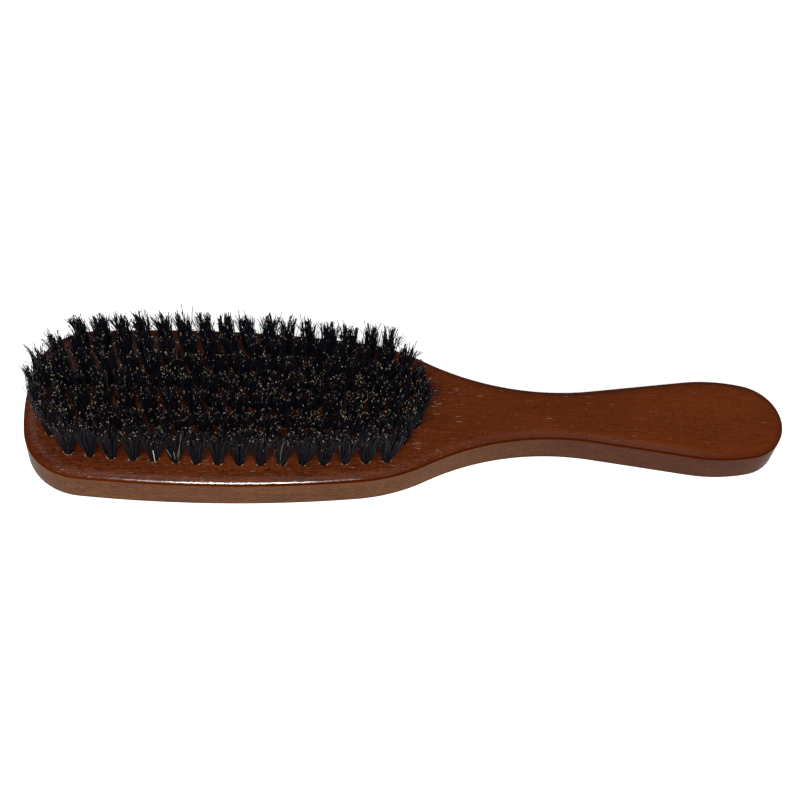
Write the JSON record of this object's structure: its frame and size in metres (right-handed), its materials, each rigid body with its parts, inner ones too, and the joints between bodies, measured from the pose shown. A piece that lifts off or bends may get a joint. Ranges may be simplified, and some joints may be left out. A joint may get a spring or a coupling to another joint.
{
  "type": "beard brush",
  "caption": "Flat wooden club brush with a long waisted handle and rows of black natural bristle tufts anchored in the head.",
  "frame": {"origin": "on the flat underside, at the middle of the board's length and width", "axes": "+X along the board from the bristled head to the handle's end, +Y across the board, +Z out of the bristle face"},
  "size_m": [0.22, 0.0538, 0.026],
  "materials": {
    "lacquered_wood": "reddish-brown stained hardwood under a clear satin-gloss lacquer, fine straight grain along the handle",
    "bristle": "blue-black natural boar bristle with pale split tips",
    "anchor_wire": "plain flat steel wire"
  },
  "bodies": {
    "root": {"wooden_body": "lacquered_wood", "tuft_row_1": "bristle", "tuft_row_2": "bristle", "tuft_row_3": "bristle", "tuft_row_4": "bristle", "tuft_row_5": "bristle", "tuft_row_6": "bristle", "tuft_row_7": "bristle", "anchor_row_1": "anchor_wire", "anchor_row_2": "anchor_wire", "anchor_row_3": "anchor_wire", "anchor_row_4": "anchor_wire", "anchor_row_5": "anchor_wire", "anchor_row_6": "anchor_wire", "anchor_row_7": "anchor_wire"}
  },
  "joints": []
}
